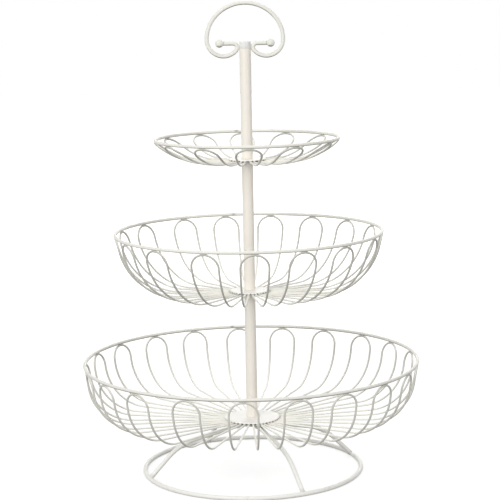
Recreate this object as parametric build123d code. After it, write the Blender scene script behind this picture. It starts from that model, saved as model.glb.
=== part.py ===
from build123d import *
from dataclasses import dataclass
import math
import os

# A free-standing fruit stand: three wire bowls on a pole of screwed tube sections.
# Millimetres, +Z up. The origin is the centre of the base ring on the table, and the front is -Y.

# Base: a hoop of round rod, four bent legs, a hub plate, a spacer and the bolt from below
base_ring_radius = 107.1
base_rod_radius = 2.2
base_ring_chords = 30
base_rod_sides = 8
leg_sides = 6
leg_names = ("front", "right", "back", "left")
leg_first_azimuth = -64.0
leg_chord_indices = (0, 7, 15, 22)
leg_inner_radius = 8.6
leg_knee_radius = 76.0
leg_knee_bend_radius = 58.0
leg_knee_chords = 3
leg_foot_slope = 45.0
base_plate_radius = 18.0
base_plate_thickness = 2.0
base_plate_top = 49.0
base_spacer_radius = 12.0
base_spacer_thickness = 2.7
bolt_head_radius = 6.0
bolt_head_height = 3.3
washer_sides = 24
bolt_head_sides = 12

# Pole: three tube sections, joined by threaded studs and inserts
pole_radius = 5.5
pole_wall = 1.0
lower_pole_length = 126.0
middle_pole_length = 127.6
upper_pole_length = 105.8
thread_radius = 3.0
thread_clearance = 0.05
insert_clearance = 0.05
insert_sides = 12
insert_length = 12.0
stud_reach = 10.0

# Bowls: round rims, looped wire petals and a hub disc each. Hand placing leaves every petal a little off
# its even place, by the angle offsets in degrees, and so the petals differ in spacing
rim_wire_radius = 1.6
rim_sides = 6
rim_chords_per_petal = 2
petal_wire_radius = 1.0
petal_sides = 6
petal_half_width = 13.5
arch_chords = 5
corner_chords = 3
hub_disc_thickness = 1.5
hub_hole_clearance = 0.1

bottom_rim_radius = 163.4
bottom_bowl_depth = 59.8
bottom_hub_radius = 27.0
bottom_wire_end_radius = 22.0
bottom_petal_azimuth = -93.5
bottom_petal_angle_offsets = (0.8, 1.5, 0.6, 0.6, 0.5, 1.0, 1.8, 1.2, 0.4, 0.3, -0.1, -0.6, -0.3, -0.8,
                              -0.3, -1.0, -1.5, -2.0, -2.4, -2.8, -1.0)
bottom_floor_slope = 2.0
bottom_corner_radius = 44.0
bottom_wall_angle = 81.0

middle_rim_radius = 129.8
middle_bowl_depth = 59.8
middle_hub_radius = 19.0
middle_wire_end_radius = 16.4
middle_petal_azimuth = -88.9
middle_petal_angle_offsets = (1.2, 0.5, -0.2, 1.8, 1.6, 1.2, 0.6, -0.2, -0.9, -1.0, -1.6, 1.3, 0.6, -0.2,
                              -1.0, -0.9, 1.6)
middle_floor_slope = 0.0
middle_corner_radius = 60.0
middle_wall_angle = 77.0

top_rim_radius = 88.6
top_bowl_depth = 21.7
top_hub_radius = 18.0
top_wire_end_radius = 13.0
top_petal_azimuth = -87.9
top_petal_angle_offsets = (-0.9, -1.4, -0.9, -0.4, 0.0, 1.1, 1.5, 0.0, 1.1, 0.8, 0.4, 0.1)
top_floor_slope = 0.0
top_corner_radius = 75.0
top_wall_angle = 41.0

# Handle: one rod bent to an arch with a curl at each side, and a ball on each end
handle_rod_radius = 2.0
handle_rod_sides = 6
handle_half_width = 36.6
handle_rise = 43.4
handle_crown_radius = 38.0
handle_crown_half_angle = 45.0
handle_curl_radius = 16.0
handle_bend_radius = 4.0
handle_ball_reach = 24.6
handle_ball_radius = 3.9
handle_ball_sides = 12
handle_ball_band_count = 5
handle_ball_cap_angle = 20.0
handle_crown_chords = 6
handle_shoulder_chords = 3
handle_curl_chords = 8
handle_bend_chords = 5
collar_height = 6.8

# Heights that follow from the stack of pieces, from the base plate up
bottom_hub_underside = base_plate_top + base_spacer_thickness
lower_pole_foot = bottom_hub_underside + hub_disc_thickness
middle_hub_underside = lower_pole_foot + lower_pole_length
middle_pole_foot = middle_hub_underside + hub_disc_thickness
top_hub_underside = middle_pole_foot + middle_pole_length
upper_pole_foot = top_hub_underside + hub_disc_thickness
upper_pole_top = upper_pole_foot + upper_pole_length
insert_radius = pole_radius - pole_wall - insert_clearance
threaded_hole_radius = thread_radius + thread_clearance


@dataclass
class Bowl:
    """The sizes of one wire bowl; heights are above the table, angles in degrees."""
    name: str
    rim_radius: float
    depth: float
    hub_underside: float
    hub_radius: float
    wire_end_radius: float
    petal_azimuth: float
    petal_offsets: tuple
    floor_slope: float
    corner_radius: float
    wall_angle: float


def regular_radius(apothem, sides):
    """Corner radius of a regular polygon whose flats lie at the apothem."""
    return apothem / math.cos(math.pi / sides)


def arc_points(centre_a, centre_b, radius, start, end, chords):
    """Points on an arc in one plane, from start to end in degrees, without the first."""
    angles = [math.radians(start + (end - start) * i / chords) for i in range(1, chords + 1)]
    return [(centre_a + radius * math.cos(t), centre_b + radius * math.sin(t)) for t in angles]


def rod(points, apothem, sides, flat_towards, closed=False):
    """A bent rod: a regular section with one flat towards the given side, mitred at each bend."""
    path = Polyline(*points, close=closed)
    run = (Vector(*points[1]) - Vector(*points[0])).normalized()
    side = Vector(*flat_towards)
    across = side - run * side.dot(run)
    start = Plane(origin=points[0], x_dir=across, z_dir=run)
    section = start * RegularPolygon(apothem, sides, major_radius=False, rotation=180 / sides)
    return sweep(section, path=path, transition=Transition.RIGHT)


def hoop(radius, height, apothem, sides, chords, first_azimuth):
    """A welded hoop of rod, with the middle of one straight at the first azimuth."""
    corner = regular_radius(radius, chords)
    turns = [math.radians(first_azimuth + (i - 1 / 2) * 360 / chords) for i in range(chords)]
    points = [(corner * math.cos(t), corner * math.sin(t), height) for t in turns]
    return rod(points, apothem, sides, (0, 0, 1), closed=True)


def bar(radius, bottom, top, flats=0, bore=0.0, bore_flats=0):
    """A turned bar on the axis between two heights, or one with flat sides, bored through where wanted."""
    outline = RegularPolygon(radius, flats) if flats else Circle(radius)
    piece = Pos(0, 0, bottom) * extrude(outline, top - bottom)
    if bore > 0:
        hole = RegularPolygon(bore, bore_flats, major_radius=False) if bore_flats else Circle(bore)
        piece -= Pos(0, 0, bottom) * extrude(hole, top - bottom)
    return piece


def bowl_heights(bowl):
    """Heights of the wires at the hub disc's edge, of the rim and of the petal tops."""
    wire_height = bowl.hub_underside - petal_wire_radius
    rim_height = wire_height + bowl.depth
    petal_top = rim_height - rim_wire_radius - regular_radius(petal_wire_radius, petal_sides)
    return wire_height, rim_height, petal_top


def petal_points(bowl):
    """The wire of one petal about the +X direction: floor, corner, wall, arch and back again."""
    wire_height, rim_height, petal_top = bowl_heights(bowl)
    slope = math.radians(bowl.floor_slope)
    wall = math.radians(bowl.wall_angle)
    # The corner's arc is tangent to the floor and to the straight wall that ends at the petal's top
    corner_run = bowl.corner_radius * (math.sin(wall) - math.sin(slope))
    corner_rise = bowl.corner_radius * (math.cos(slope) - math.cos(wall))
    lean = math.tan(slope) / math.tan(wall)
    wall_run = (petal_top - wire_height - corner_rise) / math.tan(wall)
    floor_end = (bowl.rim_radius - corner_run - wall_run - bowl.hub_radius * lean) / (1 - lean)
    floor_end_height = wire_height + (floor_end - bowl.hub_radius) * math.tan(slope)
    inner_height = wire_height - (bowl.hub_radius - bowl.wire_end_radius) * math.tan(slope)
    centre_r = floor_end - bowl.corner_radius * math.sin(slope)
    centre_z = floor_end_height + bowl.corner_radius * math.cos(slope)
    wall_length = (bowl.rim_radius - centre_r - bowl.corner_radius * math.sin(wall)) / math.cos(wall)

    def below_top(distance):
        """Radius and height on the wall and corner at a distance down along them."""
        if distance <= wall_length:
            return bowl.rim_radius - distance * math.cos(wall), petal_top - distance * math.sin(wall)
        turn = wall - (distance - wall_length) / bowl.corner_radius
        return centre_r + bowl.corner_radius * math.sin(turn), centre_z - bowl.corner_radius * math.cos(turn)

    # The arch is a half circle laid on the wall, and its top straight meets the rim
    turns = [math.pi * i / arch_chords for i in range(arch_chords + 1)]
    crown = max(math.sin(t) for t in turns)
    arch_drop = petal_half_width * crown
    corner_end = bowl.wall_angle - math.degrees(max(arch_drop - wall_length, 0) / bowl.corner_radius)
    half_angle = petal_half_width / bowl.rim_radius
    profile = [(bowl.wire_end_radius, inner_height), (floor_end, floor_end_height)]
    profile += arc_points(centre_r, centre_z, bowl.corner_radius,
                          bowl.floor_slope - 90, corner_end - 90, corner_chords)
    if arch_drop >= wall_length:
        profile.pop()
    leg = [(r * math.cos(half_angle), -r * math.sin(half_angle), z) for r, z in profile]
    arch = []
    for t in turns:
        r, z = below_top(petal_half_width * (crown - math.sin(t)))
        side = half_angle * math.cos(t)
        arch.append((r * math.cos(side), -r * math.sin(side), z))
    return leg + arch + [(x, -y, z) for x, y, z in reversed(leg)]


def make_petals(bowl):
    """All petals of a bowl, each one bent wire, as separate solids."""
    petal = rod(petal_points(bowl), petal_wire_radius, petal_sides, (0, 0, 1)).solid()
    step = 360 / len(bowl.petal_offsets)
    azimuths = [bowl.petal_azimuth + i * step + offset for i, offset in enumerate(bowl.petal_offsets)]
    return Compound([Rot(0, 0, azimuth) * petal for azimuth in azimuths])


def make_rim(bowl):
    """The round top rim, with a straight over each petal and one over each gap between petals."""
    rim_height = bowl_heights(bowl)[1]
    chords = rim_chords_per_petal * len(bowl.petal_offsets)
    return hoop(bowl.rim_radius, rim_height, rim_wire_radius, rim_sides, chords, bowl.petal_azimuth)


def make_hub_disc(bowl):
    """The flat disc over the inner ends of the wires, which the pole clamps."""
    top = bowl.hub_underside + hub_disc_thickness
    flats = rim_chords_per_petal * len(bowl.petal_offsets)
    return bar(bowl.hub_radius, bowl.hub_underside, top, flats, thread_radius + hub_hole_clearance)


def make_tube(foot, length):
    """One section of the pole."""
    return bar(pole_radius, foot, foot + length, bore=pole_radius - pole_wall)


def make_insert(bottom, top):
    """A threaded insert, fixed flush in the end of a tube."""
    return bar(insert_radius, bottom, top, insert_sides, threaded_hole_radius, insert_sides)


def make_stud(tube_top):
    """A plug fixed in a tube's top end, with the stud that passes the hub disc above it."""
    tip = tube_top + hub_disc_thickness + stud_reach
    plug = bar(insert_radius, tube_top - insert_length, tube_top, insert_sides)
    return plug + bar(thread_radius, tube_top, tip)


def make_base_leg(azimuth):
    """A leg: level under the hub plate, sloping out to its knee, then down to the ring's shoulder."""
    top = base_plate_top - base_plate_thickness - base_rod_radius
    fall = math.radians(leg_foot_slope)
    foot_r = base_ring_radius - base_rod_radius * math.cos(fall)
    foot_z = base_rod_radius + base_rod_radius * math.sin(fall)
    knee_z = foot_z + (foot_r - leg_knee_radius) * math.tan(fall)
    droop = math.atan2(top - knee_z, leg_knee_radius - base_plate_radius)
    turn = fall - droop
    reach = leg_knee_bend_radius * math.tan(turn / 2)
    start_r = leg_knee_radius - reach * math.cos(droop)
    start_z = knee_z + reach * math.sin(droop)
    centre_r = start_r - leg_knee_bend_radius * math.sin(droop)
    centre_z = start_z - leg_knee_bend_radius * math.cos(droop)
    profile = [(leg_inner_radius, top), (base_plate_radius, top), (start_r, start_z)]
    profile += arc_points(centre_r, centre_z, leg_knee_bend_radius,
                          90 - math.degrees(droop), 90 - leg_foot_slope, leg_knee_chords)
    profile.append((foot_r, foot_z))
    return Rot(0, 0, azimuth) * rod([(r, 0, z) for r, z in profile], base_rod_radius, leg_sides, (0, 0, 1))


def make_base_bolt():
    """The bolt that holds base, bottom bowl and pole together: a low round head and its shank."""
    plate_underside = base_plate_top - base_plate_thickness
    head = bar(bolt_head_radius, plate_underside - bolt_head_height, plate_underside, bolt_head_sides)
    return head + bar(thread_radius, plate_underside, lower_pole_foot + stud_reach)


def handle_layout():
    """Centres of the handle's arcs: crown, shoulder, curl and tight bend, on the right side."""
    crown_z = upper_pole_top + handle_rise - handle_crown_radius
    lean = math.radians(handle_crown_half_angle)
    sine = math.sin(lean)
    shoulder_radius = (handle_half_width - handle_crown_radius * sine) / (1 - sine)
    shoulder_x = handle_half_width - shoulder_radius
    widest_z = crown_z + (handle_crown_radius - shoulder_radius) * math.cos(lean)
    curl_x = handle_half_width - handle_curl_radius
    # The tight bend passes beside the collar, so the curl stops where it reaches that bend
    bend_x = pole_radius + handle_rod_radius + handle_bend_radius
    link = handle_curl_radius - handle_bend_radius
    curl_end = math.degrees(math.acos((curl_x - bend_x) / link)) - 180
    bend_z = widest_z + link * math.sin(math.radians(curl_end))
    return crown_z, shoulder_radius, shoulder_x, widest_z, curl_x, bend_x, bend_z, curl_end


def make_handle_scroll():
    """The handle's rod, from the right ball round the curl, over the arch and back to the left one."""
    crown_z, shoulder_radius, shoulder_x, widest_z, curl_x, bend_x, bend_z, curl_end = handle_layout()
    lean = handle_crown_half_angle
    arm_z = bend_z + handle_bend_radius
    right = [(handle_ball_reach - ball_seat(), arm_z), (bend_x, arm_z)]
    right += arc_points(bend_x, bend_z, handle_bend_radius, 90, 360 + curl_end, handle_bend_chords)
    right += arc_points(curl_x, widest_z, handle_curl_radius, curl_end, 0, handle_curl_chords)
    right += arc_points(shoulder_x, widest_z, shoulder_radius, 0, 90 - lean, handle_shoulder_chords)
    crown = arc_points(0, crown_z, handle_crown_radius, 90 - lean, 90 + lean, handle_crown_chords)
    left = [(-x, z) for x, z in reversed(right)][1:]
    return rod([(x, 0, z) for x, z in right + crown + left], handle_rod_radius, handle_rod_sides, (0, 0, 1))


def ball_seat():
    """Distance from a ball's centre to the flat where the rod ends on it."""
    corner = regular_radius(handle_rod_radius, handle_rod_sides)
    return math.sqrt(handle_ball_radius ** 2 - corner ** 2)


def make_handle_ball(side):
    """A ball on one end of the handle's rod, in flat faces, with a flat where the rod is welded to it."""
    height = handle_layout()[6] + handle_bend_radius
    seat_angle = math.pi - math.acos(ball_seat() / handle_ball_radius)
    cap_angle = math.radians(handle_ball_cap_angle)
    turns = [math.tau * (i + 1 / 2) / handle_ball_sides for i in range(handle_ball_sides)]
    rings = []
    for i in range(handle_ball_band_count + 1):
        angle = seat_angle + (cap_angle - seat_angle) * i / handle_ball_band_count
        x = side * (handle_ball_reach + handle_ball_radius * math.cos(angle))
        corner = regular_radius(handle_ball_radius * math.sin(angle), handle_ball_sides)
        rings.append([(x, corner * math.sin(t), height + corner * math.cos(t)) for t in turns])
    outlines = [rings[0], rings[-1]]
    for near, far in zip(rings, rings[1:]):
        outlines += [[near[i - 1], near[i], far[i], far[i - 1]] for i in range(handle_ball_sides)]
    return Solid(Shell([Face(Wire.make_polygon(outline)) for outline in outlines]))


def make_handle_collar():
    """The collar between the two curls, as wide as the pole, with the stud that screws into it."""
    collar = bar(pole_radius, upper_pole_top, upper_pole_top + collar_height)
    return collar + bar(thread_radius, upper_pole_top - stud_reach, upper_pole_top, washer_sides)


bowls = (
    Bowl("bottom", bottom_rim_radius, bottom_bowl_depth, bottom_hub_underside, bottom_hub_radius,
         bottom_wire_end_radius, bottom_petal_azimuth, bottom_petal_angle_offsets, bottom_floor_slope,
         bottom_corner_radius, bottom_wall_angle),
    Bowl("middle", middle_rim_radius, middle_bowl_depth, middle_hub_underside, middle_hub_radius,
         middle_wire_end_radius, middle_petal_azimuth, middle_petal_angle_offsets, middle_floor_slope,
         middle_corner_radius, middle_wall_angle),
    Bowl("top", top_rim_radius, top_bowl_depth, top_hub_underside, top_hub_radius,
         top_wire_end_radius, top_petal_azimuth, top_petal_angle_offsets, top_floor_slope,
         top_corner_radius, top_wall_angle),
)

nodes = {
    "base_ring": hoop(base_ring_radius, base_rod_radius, base_rod_radius, base_rod_sides,
                      base_ring_chords, leg_first_azimuth),
    "base_plate": bar(base_plate_radius, base_plate_top - base_plate_thickness, base_plate_top,
                      washer_sides, thread_radius + hub_hole_clearance, insert_sides),
    "base_spacer": bar(base_spacer_radius, base_plate_top, bottom_hub_underside,
                       washer_sides, thread_radius + hub_hole_clearance, insert_sides),
    "base_bolt": make_base_bolt(),
    "lower_pole": make_tube(lower_pole_foot, lower_pole_length),
    "lower_pole_foot_insert": make_insert(lower_pole_foot, lower_pole_foot + insert_length),
    "lower_pole_stud": make_stud(middle_hub_underside),
    "middle_pole": make_tube(middle_pole_foot, middle_pole_length),
    "middle_pole_foot_insert": make_insert(middle_pole_foot, middle_pole_foot + insert_length),
    "middle_pole_stud": make_stud(top_hub_underside),
    "upper_pole": make_tube(upper_pole_foot, upper_pole_length),
    "upper_pole_foot_insert": make_insert(upper_pole_foot, upper_pole_foot + insert_length),
    "upper_pole_top_insert": make_insert(upper_pole_top - insert_length, upper_pole_top),
    "handle_collar": make_handle_collar(),
    "handle_scroll": make_handle_scroll(),
    "handle_ball_right": make_handle_ball(1),
    "handle_ball_left": make_handle_ball(-1),
}
for name, index in zip(leg_names, leg_chord_indices):
    nodes[f"base_leg_{name}"] = make_base_leg(leg_first_azimuth + index * 360 / base_ring_chords)
for bowl in bowls:
    nodes[f"{bowl.name}_rim"] = make_rim(bowl)
    nodes[f"{bowl.name}_petals"] = make_petals(bowl)
    nodes[f"{bowl.name}_hub_disc"] = make_hub_disc(bowl)

os.makedirs("parts", exist_ok=True)
for name, shape in nodes.items():
    export_step(shape, f"parts/{name}.step")
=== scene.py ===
import logging
import math
from dataclasses import dataclass, field, replace
from enum import Enum
from typing import TypeAlias

import bpy
import numpy as np
from mathutils import Matrix


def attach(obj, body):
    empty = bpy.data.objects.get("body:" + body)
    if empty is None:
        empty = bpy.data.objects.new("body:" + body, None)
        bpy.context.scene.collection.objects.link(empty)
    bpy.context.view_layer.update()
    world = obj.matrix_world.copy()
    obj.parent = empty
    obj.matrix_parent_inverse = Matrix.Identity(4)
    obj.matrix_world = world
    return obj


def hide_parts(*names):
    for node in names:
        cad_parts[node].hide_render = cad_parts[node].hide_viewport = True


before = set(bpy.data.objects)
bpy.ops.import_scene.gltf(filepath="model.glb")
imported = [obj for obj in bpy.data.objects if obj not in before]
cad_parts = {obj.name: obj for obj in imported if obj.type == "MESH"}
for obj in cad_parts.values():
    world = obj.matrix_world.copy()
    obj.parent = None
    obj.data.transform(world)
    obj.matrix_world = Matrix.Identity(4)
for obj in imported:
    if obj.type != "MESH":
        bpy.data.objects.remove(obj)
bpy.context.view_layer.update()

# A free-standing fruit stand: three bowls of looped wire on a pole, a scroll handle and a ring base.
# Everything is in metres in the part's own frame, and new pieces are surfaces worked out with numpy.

log = logging.getLogger("fruit_stand")

MM = 0.001
TURN = 2.0 * math.pi
QUARTER = math.pi / 2.0
X_AXIS, Y_AXIS, Z_AXIS = np.eye(3)

# The sine and the cosine of 45 degrees
DIAGONAL = math.sqrt(0.5)

# Radius of the small ring at a turned end, which a fan of triangles closes
TIP = 0.02 * MM

# Points of a path that are nearer to each other than this count as one
SAME = 0.001 * MM

# Angles of the rings in a wire's domed end, from its tip to the full wire
DOME = np.linspace(80.0, 0.0, 5)[:-1] * math.pi / 180.0

Point = tuple[float, float, float]
Sizes = tuple[float, float, float]
Limits = tuple[float, float]
Colour = tuple[float, float, float, float]
Number: TypeAlias = "float | Value"


class Slot(Enum):
    """The record's material slots."""

    STAND = "stand_paint"
    BOWL = "bowl_paint"
    COLLAR = "collar_paint"
    STEEL = "fastener_steel"


class Rides(Enum):
    """The rigid bodies that pieces move with."""

    STAND = "stand"
    BOTTOM = "bottom_bowl"
    MIDDLE = "middle_bowl"
    TOP = "top_bowl"


class Wear(Enum):
    """How far a coat has worn, from 0 to 1."""

    SHELF_NEW = 0.0
    HANDLED = 0.55
    RUBBED = 1.0


# Surfaces

@dataclass
class Surface:
    """A mesh that is still only arrays, with two values for each point.

    The weld value is 1 at a weld, which is darker, and on a disc also in its gaps between wires, where it
    carries a painted shadow. The film value is 1 where painted light lightens the coat.
    """

    points: np.ndarray
    quads: np.ndarray
    triangles: np.ndarray
    weld: np.ndarray
    film: np.ndarray

    def outward(self) -> "Surface":
        """Turns the faces round if they enclose a negative volume, the sum of their signed cones.

        Returns:
            This surface, with its faces pointing out.
        """
        p = self.points - self.points.mean(axis=0)
        faces = np.concatenate([self.quads[:, [0, 1, 2]], self.quads[:, [0, 2, 3]], self.triangles])
        a, b, c = (p[faces[:, corner]] for corner in range(3))
        if np.einsum("ij,ij->", a, np.cross(b, c)) < 0:
            self.quads, self.triangles = self.quads[:, ::-1], self.triangles[:, ::-1]
        return self

    def turned_by(self, angle: float) -> "Surface":
        """A copy turned about the vertical axis.

        Args:
            angle: Turn in radians, anticlockwise from above.

        Returns:
            The turned copy.
        """
        c, s = math.cos(angle), math.sin(angle)
        spin = np.array([[c, s, 0.0], [-s, c, 0.0], [0.0, 0.0, 1.0]])
        return replace(self, points=self.points @ spin)


def joined(parts: list[Surface]) -> Surface:
    """One surface from several, with the face numbers of each moved past the points before it.

    Args:
        parts: The surfaces to join.

    Returns:
        The joined surface.
    """
    starts = np.concatenate([[0], np.cumsum([len(p.points) for p in parts])[:-1]]).astype(int)
    return Surface(
        np.concatenate([p.points for p in parts]),
        np.concatenate([p.quads + s for p, s in zip(parts, starts)]),
        np.concatenate([p.triangles + s for p, s in zip(parts, starts)]),
        np.concatenate([p.weld for p in parts]),
        np.concatenate([p.film for p in parts]),
    )


def grid_faces(rows: int, columns: int, closed_rows: bool) -> np.ndarray:
    """Quads between neighbours of a grid whose columns wrap round.

    Args:
        rows: Rings in the grid.
        columns: Points in each ring.
        closed_rows: Whether the last ring joins the first.

    Returns:
        An array of four point numbers for each quad.
    """
    i, j = np.meshgrid(np.arange(rows if closed_rows else rows - 1), np.arange(columns), indexing="ij")
    k, m = (i + 1) % rows, (j + 1) % columns
    corners = [i * columns + j, i * columns + m, k * columns + m, k * columns + j]
    return np.stack(corners, axis=-1).reshape(-1, 4)


def from_rings(rings: np.ndarray, closed: bool, weld: np.ndarray | float = 0.0) -> Surface:
    """A surface through rings of points. Open ends are closed with a fan to each end ring's mean.

    Args:
        rings: Points as (ring, point in ring, xyz).
        closed: Whether the last ring joins the first.
        weld: One value for each ring, or one for all.

    Returns:
        The closed surface, with its faces pointing out.
    """
    rows, columns = rings.shape[:2]
    points = rings.reshape(-1, 3)
    weld = np.repeat(np.broadcast_to(weld, rows), columns)
    triangles = np.zeros((0, 3), int)
    if not closed:
        j = np.arange(columns)
        m = (j + 1) % columns
        base = (rows - 1) * columns
        first = np.stack([np.full(columns, len(points)), m, j], axis=-1)
        last = np.stack([np.full(columns, len(points) + 1), base + j, base + m], axis=-1)
        triangles = np.concatenate([first, last])
        points = np.concatenate([points, [rings[0].mean(axis=0), rings[-1].mean(axis=0)]])
        weld = np.concatenate([weld, weld[[0, -1]]])
    quads = grid_faces(rows, columns, closed)
    return Surface(points, quads, triangles, weld, np.zeros(len(points))).outward()


def unit(vectors: np.ndarray) -> np.ndarray:
    """Each vector divided by its length."""
    return vectors / np.linalg.norm(vectors, axis=-1, keepdims=True)


def smooth_step(x: np.ndarray, low: float, high: float) -> np.ndarray:
    """The cubic 3t^2 - 2t^3, where t goes from 0 at low to 1 at high."""
    t = np.clip((x - low) / (high - low), 0.0, 1.0)
    return t * t * (3.0 - 2.0 * t)


def held_ends(rows: np.ndarray, count: int) -> np.ndarray:
    """The rows, with count more of the first before them and count more of the last after them."""
    return np.pad(rows, [(count, count)] + [(0, 0)] * (rows.ndim - 1), mode="edge")


def wire(path: np.ndarray, reference: np.ndarray, radius: float, sides: int, welds: tuple[float, ...],
         weld_reach: float, closed: bool = False, end_length: float = 0.5, swell: float = 0.0) -> Surface:
    """Round wire along a path: centre + radius (cos t across + sin t up), with domed ends.

    Across is the path's direction crossed with the reference, and up is across crossed with the
    direction. An end is a half ellipse, whose radius falls as the cosine while it goes on as the sine.

    Args:
        path: Centre line as (point, xyz).
        reference: A direction, or one for each point, that is never along the path.
        radius: Radius of the wire.
        sides: Points round the wire.
        welds: Fractions of the path's length where it is welded.
        weld_reach: Distance over which a weld fades out.
        closed: Whether the path is a loop.
        end_length: Length of a domed end in radii.
        swell: Share by which paint and weld thicken the wire there.

    Returns:
        The wire's surface.
    """
    reference = np.broadcast_to(reference, path.shape)
    scale = np.ones(len(path))
    if closed:
        steps = np.linalg.norm(np.roll(path, -1, axis=0) - path, axis=1)
        run, total = np.concatenate([[0.0], np.cumsum(steps)[:-1]]), steps.sum()
        direction = unit(np.roll(path, -1, axis=0) - np.roll(path, 1, axis=0))
    else:
        run = np.concatenate([[0.0], np.cumsum(np.linalg.norm(np.diff(path, axis=0), axis=1))])
        total = run[-1]
        direction = unit(np.gradient(path, run, axis=0))
        reach, shrink = np.sin(DOME) * end_length * radius, np.cos(DOME)
        first, last = path[0] - direction[0] * reach[:, None], path[-1] + direction[-1] * reach[::-1, None]
        path = np.concatenate([first, path, last])
        scale = np.concatenate([shrink, scale, shrink[::-1]])
        direction, reference, run = (held_ends(rows, len(DOME)) for rows in (direction, reference, run))
    gap = np.abs(run[:, None] - np.array(welds) * total)
    gap = np.minimum(gap, total - gap) if closed else gap
    weld = 1.0 - smooth_step(gap.min(axis=1), 0.0, weld_reach)
    across = unit(np.cross(direction, reference))
    up = np.cross(across, direction)
    t = np.arange(sides) * TURN / sides
    radii = radius * scale * (1.0 + swell * weld)
    circle = np.cos(t)[:, None] * across[:, None] + np.sin(t)[:, None] * up[:, None]
    return from_rings(path[:, None] + radii[:, None, None] * circle, closed, weld)


def hoop(radius: float, height: float, rod: float, sides: int, steps: int, joint: float,
         weld_reach: float) -> Surface:
    """Round rod bent to a level circle, (R cos t, R sin t, height), with the butt weld of its ends.

    Args:
        radius: Radius of the circle.
        height: Height of its centre line.
        rod: Radius of the rod.
        sides: Points round the rod.
        steps: Points round the circle.
        joint: Azimuth of the weld in degrees.
        weld_reach: Distance over which the weld fades out.

    Returns:
        The hoop's surface.
    """
    t = np.linspace(0.0, TURN, steps + 1)[:-1] + math.radians(joint)
    path = np.stack([radius * np.cos(t), radius * np.sin(t), np.full(steps, height)], axis=-1)
    return wire(path, Z_AXIS, rod, sides, (0.0,), weld_reach, closed=True)


def lathe(radii: np.ndarray, heights: np.ndarray, sides: int, closed: bool = False,
          weld: np.ndarray | float = 0.0, facets: np.ndarray | float = 1.0) -> Surface:
    """A turned shape: each profile point goes round as (r cos t, r sin t, z).

    Args:
        radii: Profile radii.
        heights: Profile heights.
        sides: Points in each ring.
        closed: Whether the profile is a loop, as for a piece with a hole.
        weld: Weld value for each profile point.
        facets: Factors on the radius as (profile point, point in ring), where a ring isn't round.

    Returns:
        The turned surface.
    """
    t = np.arange(sides) * TURN / sides
    r = np.broadcast_to(radii[:, None] * facets, (len(radii), sides))
    rings = np.stack([r * np.cos(t), r * np.sin(t), np.broadcast_to(heights[:, None], r.shape)], axis=-1)
    return from_rings(rings, closed, weld)


def bored(inner: float, outer: float, bottom: float, top: float, edge: float, spacing: float,
          sides: int) -> Surface:
    """A turned piece with a hole: a rectangle with quarter-round corners, carried round the axis.

    Args:
        inner: Radius of the hole.
        outer: Outer radius.
        bottom: Lower height.
        top: Upper height.
        edge: Radius of the corners.
        spacing: Largest step along a side of the rectangle.
        sides: Points in each ring.

    Returns:
        The turned surface.
    """
    turn = np.linspace(0.0, QUARTER, 5)
    centres = ((outer - edge, top - edge), (inner + edge, top - edge),
               (inner + edge, bottom + edge), (outer - edge, bottom + edge))
    arcs = [np.stack([r + edge * np.cos(turn + q * QUARTER), z + edge * np.sin(turn + q * QUARTER)], axis=-1)
            for q, (r, z) in enumerate(centres)]
    loop = []
    for here, there in zip(arcs, arcs[1:] + arcs[:1]):
        count = max(int(np.linalg.norm(there[0] - here[-1]) / spacing), 1)
        loop += [here, np.linspace(here[-1], there[0], count + 1)[1:-1]]
    radii, heights = np.concatenate(loop).T
    return lathe(radii, heights, sides, closed=True)


def bead(centre: np.ndarray, along: np.ndarray, across: np.ndarray, sizes: Sizes, rows: int = 7,
         sides: int = 10) -> Surface:
    """A small lump of weld: an ellipsoid, centre + a cos u along + sin u (b cos t across + c sin t up).

    Its end rings stand a small angle off its poles, and a fan closes each.

    Args:
        centre: Middle of the lump.
        along: Direction of the first half size.
        across: Direction of the second half size.
        sizes: Half sizes along, across and up.
        rows: Rings from end to end.
        sides: Points in each ring.

    Returns:
        The lump's surface.
    """
    along, across = unit(along), unit(across)
    up = np.cross(along, across)
    pole_gap = 0.12
    u = np.linspace(pole_gap, math.pi - pole_gap, rows)
    t = np.arange(sides) * TURN / sides
    ring = sizes[1] * np.cos(t)[:, None] * across + sizes[2] * np.sin(t)[:, None] * up
    rings = centre + sizes[0] * np.cos(u)[:, None, None] * along + np.sin(u)[:, None, None] * ring[None]
    return from_rings(rings, False, 1.0)


def arc(centre: tuple[float, float], radius: float, start: float, end: float, step: float) -> np.ndarray:
    """Points (a, b) = centre + radius (cos t, sin t), from start to end, one about every step.

    Args:
        centre: Centre in the plane.
        radius: Radius of the arc.
        start: First angle in degrees.
        end: Last angle in degrees.
        step: Wanted distance between points.

    Returns:
        Points as (point, 2).
    """
    count = max(int(abs(math.radians(end - start)) * radius / step), 3)
    t = np.radians(np.linspace(start, end, count + 1))
    return np.stack([centre[0] + radius * np.cos(t), centre[1] + radius * np.sin(t)], axis=-1)


def chain(parts: list[np.ndarray]) -> np.ndarray:
    """Runs of points end to end, without the points that two runs share.

    Args:
        parts: The runs, each as (point, coordinates).

    Returns:
        One run of points.
    """
    line = np.concatenate(parts)
    apart = np.linalg.norm(np.diff(line, axis=0), axis=1) > SAME
    return line[np.concatenate([[True], apart])]


def upright(line: np.ndarray) -> np.ndarray:
    """Points (x, z) as a path in the upright plane through the X axis."""
    return np.stack([line[:, 0], np.zeros(len(line)), line[:, 1]], axis=-1)


# Finishes

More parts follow.
